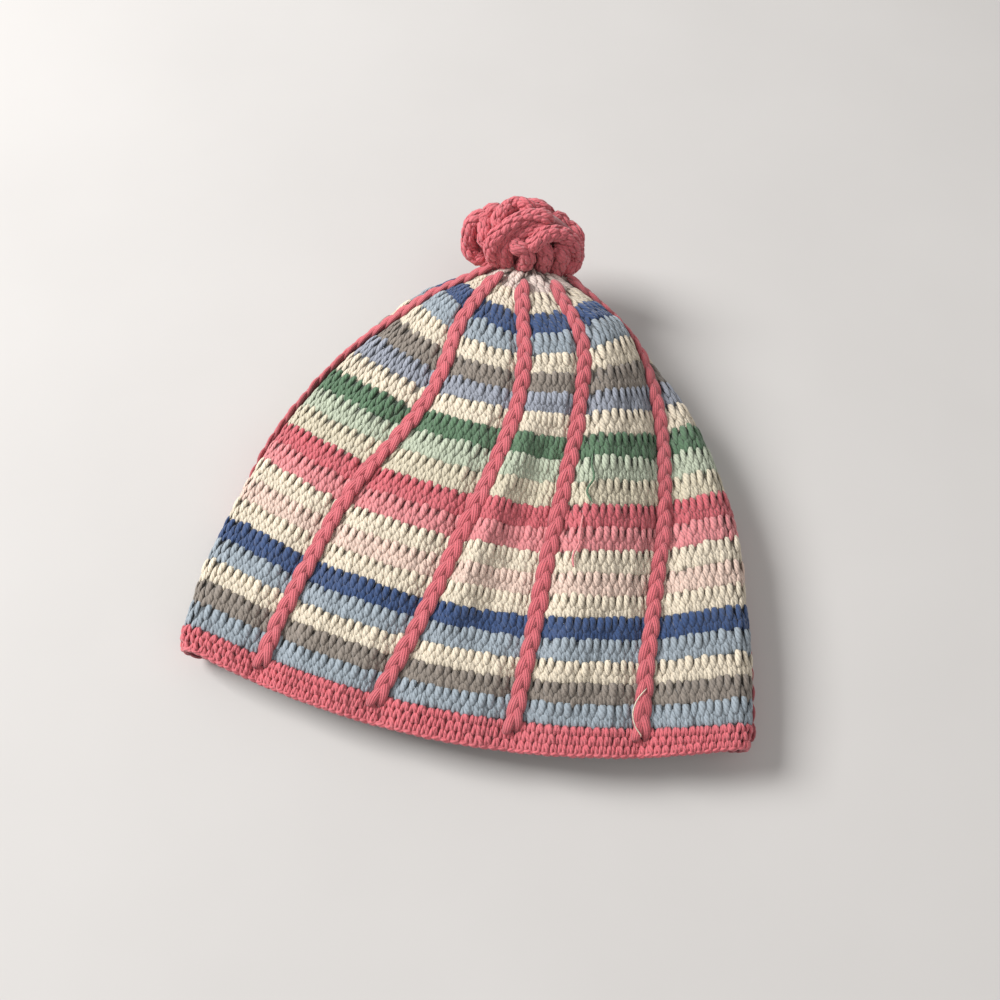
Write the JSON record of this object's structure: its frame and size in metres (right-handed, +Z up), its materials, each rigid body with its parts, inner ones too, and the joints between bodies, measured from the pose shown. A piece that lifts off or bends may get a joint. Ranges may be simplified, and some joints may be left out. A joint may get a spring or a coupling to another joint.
{
  "type": "crocheted hat",
  "caption": "Striped crocheted bell-shaped hat lying flat on its side, with braided ribs, a hem band and a pompom of curled cords.",
  "frame": {"origin": "on the surface that the hat lies on, under the middle of its outline", "axes": "+Z up from that surface, +Y from the open hem toward the crown and pompom, +X to the right seen from the hem"},
  "size_m": [0.2628, 0.2752, 0.07],
  "materials": {
    "blush_yarn": "matt crocheted yarn, very pale pinkish cream",
    "cream_yarn": "matt crocheted yarn, cream",
    "navy_yarn": "matt crocheted yarn, dark blue",
    "sky_yarn": "matt crocheted yarn, light blue",
    "taupe_yarn": "matt crocheted yarn, grey brown",
    "lavender_yarn": "matt crocheted yarn, lavender blue",
    "green_yarn": "matt crocheted yarn, green",
    "mint_yarn": "matt crocheted yarn, pale mint",
    "ivory_yarn": "matt crocheted yarn, ivory",
    "coral_yarn": "matt crocheted yarn, deep coral",
    "light_coral_yarn": "matt crocheted yarn, lighter coral",
    "peach_yarn": "matt crocheted yarn, peach"
  },
  "bodies": {
    "root": {"round_01": "blush_yarn", "round_02": "cream_yarn", "round_03": "navy_yarn", "round_04": "sky_yarn", "round_05": "cream_yarn", "round_06": "taupe_yarn", "round_07": "lavender_yarn", "round_08": "cream_yarn", "round_09": "green_yarn", "round_10": "mint_yarn", "round_11": "ivory_yarn", "round_12": "coral_yarn", "round_13": "light_coral_yarn", "round_14": "cream_yarn", "round_15": "peach_yarn", "round_16": "cream_yarn", "round_17": "navy_yarn", "round_18": "sky_yarn", "round_19": "cream_yarn", "round_20": "taupe_yarn", "round_21": "sky_yarn", "hem_band": "coral_yarn", "rib_01": "coral_yarn", "rib_02": "coral_yarn", "rib_03": "coral_yarn", "rib_04": "coral_yarn", "rib_05": "coral_yarn", "rib_06": "coral_yarn", "rib_07": "coral_yarn", "rib_08": "coral_yarn", "rib_09": "coral_yarn", "pompom": "coral_yarn"}
  },
  "joints": []
}
